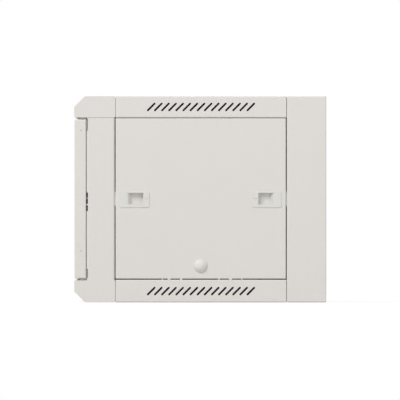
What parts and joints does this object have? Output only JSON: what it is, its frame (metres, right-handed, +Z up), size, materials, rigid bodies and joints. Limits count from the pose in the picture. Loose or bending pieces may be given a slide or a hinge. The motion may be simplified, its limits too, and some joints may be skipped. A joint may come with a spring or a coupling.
{
  "type": "wall mount network cabinet",
  "caption": "Wall mount network cabinet for 19-inch equipment with glazed hinged door, vented rails, lift-off side panels with slide latches and a deep rear box.",
  "frame": {"origin": "centre of the underside of the bounding box", "axes": "+Z up, -Y the door side, +Y the wall side, +X to the right seen from the front"},
  "size_m": [0.613, 0.45, 0.368],
  "materials": {
    "frame_paint": "fine textured powder coat",
    "panel_paint": "fine textured powder coat",
    "door_paint": "fine textured powder coat",
    "glass": "toughened, smoke grey tint",
    "foam": "matt cellular foam",
    "seal_foam": "matt grey cellular foam",
    "strip_paint": "matt black powder coat",
    "edging": "matt",
    "plug_plastic": "satin moulded",
    "latch_plastic": "satin moulded",
    "bush_plastic": "satin moulded nylon",
    "zinc_steel": "bright zinc plate",
    "lock_chrome": "satin chrome plate"
  },
  "bodies": {
    "cabinet_frame": {"bottom_cover": "frame_paint", "depth_strips_left": "strip_paint", "depth_strips_right": "strip_paint", "earth_stud": "zinc_steel", "entry_plate_bottom": "frame_paint", "entry_plate_screws_bottom": "zinc_steel", "entry_plate_screws_top": "zinc_steel", "entry_plate_top": "frame_paint", "frame_bolts": "zinc_steel", "front_bar_bottom": "frame_paint", "front_bar_top": "frame_paint", "front_post_left": "frame_paint", "front_post_right": "frame_paint", "latch_bezel_front_left": "latch_plastic", "latch_bezel_front_right": "latch_plastic", "latch_bezel_rear_left": "latch_plastic", "latch_bezel_rear_right": "latch_plastic", "lock_hole_plug_left": "plug_plastic", "lock_hole_plug_right": "plug_plastic", "pivot_bushes": "bush_plastic", "rear_box": "frame_paint", "rear_entry_edging": "edging", "side_panel_left": "panel_paint", "side_panel_right": "panel_paint", "top_cover": "frame_paint"},
    "door": {"door_edge_seals": "seal_foam", "door_frame": "door_paint", "door_glass": "glass", "door_glass_tape": "foam", "door_lock_body": "lock_chrome", "door_lock_nut": "zinc_steel", "door_pin_brackets": "zinc_steel", "door_pin_lower": "zinc_steel", "door_pin_upper": "zinc_steel", "door_rivets": "zinc_steel"},
    "door_lock_key_barrel": {"door_lock_barrel": "lock_chrome", "door_lock_cam": "zinc_steel", "door_lock_cam_nut": "zinc_steel"},
    "rack_rail_front_left": {"rack_rail_front_left": "zinc_steel", "clamp_bolts_front_left": "zinc_steel"},
    "rack_rail_front_right": {"rack_rail_front_right": "zinc_steel", "clamp_bolts_front_right": "zinc_steel"},
    "rack_rail_rear_left": {"rack_rail_rear_left": "zinc_steel", "clamp_bolts_rear_left": "zinc_steel"},
    "rack_rail_rear_right": {"rack_rail_rear_right": "zinc_steel", "clamp_bolts_rear_right": "zinc_steel"},
    "latch_bolt_front_left": {"latch_slider_front_left": "latch_plastic"},
    "latch_bolt_front_right": {"latch_slider_front_right": "latch_plastic"},
    "latch_bolt_rear_left": {"latch_slider_rear_left": "latch_plastic"},
    "latch_bolt_rear_right": {"latch_slider_rear_right": "latch_plastic"}
  },
  "joints": [
    {"name": "door_swing", "type": "hinge", "parent": "cabinet_frame", "child": "door", "pos_m": [-0.294, -0.2165, 0.184], "axis": [0, 0, -1], "range_deg": [0, 180]},
    {"name": "door_lock_turn", "type": "hinge", "parent": "door", "child": "door_lock_key_barrel", "pos_m": [0.277, -0.2, 0.186], "axis": [0, -1, 0], "range_deg": [0, 90]},
    {"name": "latch_slide_front_left", "type": "slide", "parent": "cabinet_frame", "child": "latch_bolt_front_left", "axis": [0, 1, 0], "range_m": [0, 0.007], "stiffness_N_per_m": 300},
    {"name": "latch_slide_front_right", "type": "slide", "parent": "cabinet_frame", "child": "latch_bolt_front_right", "axis": [0, 1, 0], "range_m": [0, 0.007], "stiffness_N_per_m": 300},
    {"name": "latch_slide_rear_left", "type": "slide", "parent": "cabinet_frame", "child": "latch_bolt_rear_left", "axis": [0, -1, 0], "range_m": [0, 0.007], "stiffness_N_per_m": 300},
    {"name": "latch_slide_rear_right", "type": "slide", "parent": "cabinet_frame", "child": "latch_bolt_rear_right", "axis": [0, -1, 0], "range_m": [0, 0.007], "stiffness_N_per_m": 300},
    {"name": "rail_depth_front_left", "type": "slide", "parent": "cabinet_frame", "child": "rack_rail_front_left", "axis": [0, 1, 0], "range_m": [0, 0.09]},
    {"name": "rail_depth_front_right", "type": "slide", "parent": "cabinet_frame", "child": "rack_rail_front_right", "axis": [0, 1, 0], "range_m": [0, 0.09]},
    {"name": "rail_depth_rear_left", "type": "slide", "parent": "cabinet_frame", "child": "rack_rail_rear_left", "axis": [0, -1, 0], "range_m": [0, 0.09]},
    {"name": "rail_depth_rear_right", "type": "slide", "parent": "cabinet_frame", "child": "rack_rail_rear_right", "axis": [0, -1, 0], "range_m": [0, 0.09]}
  ]
}
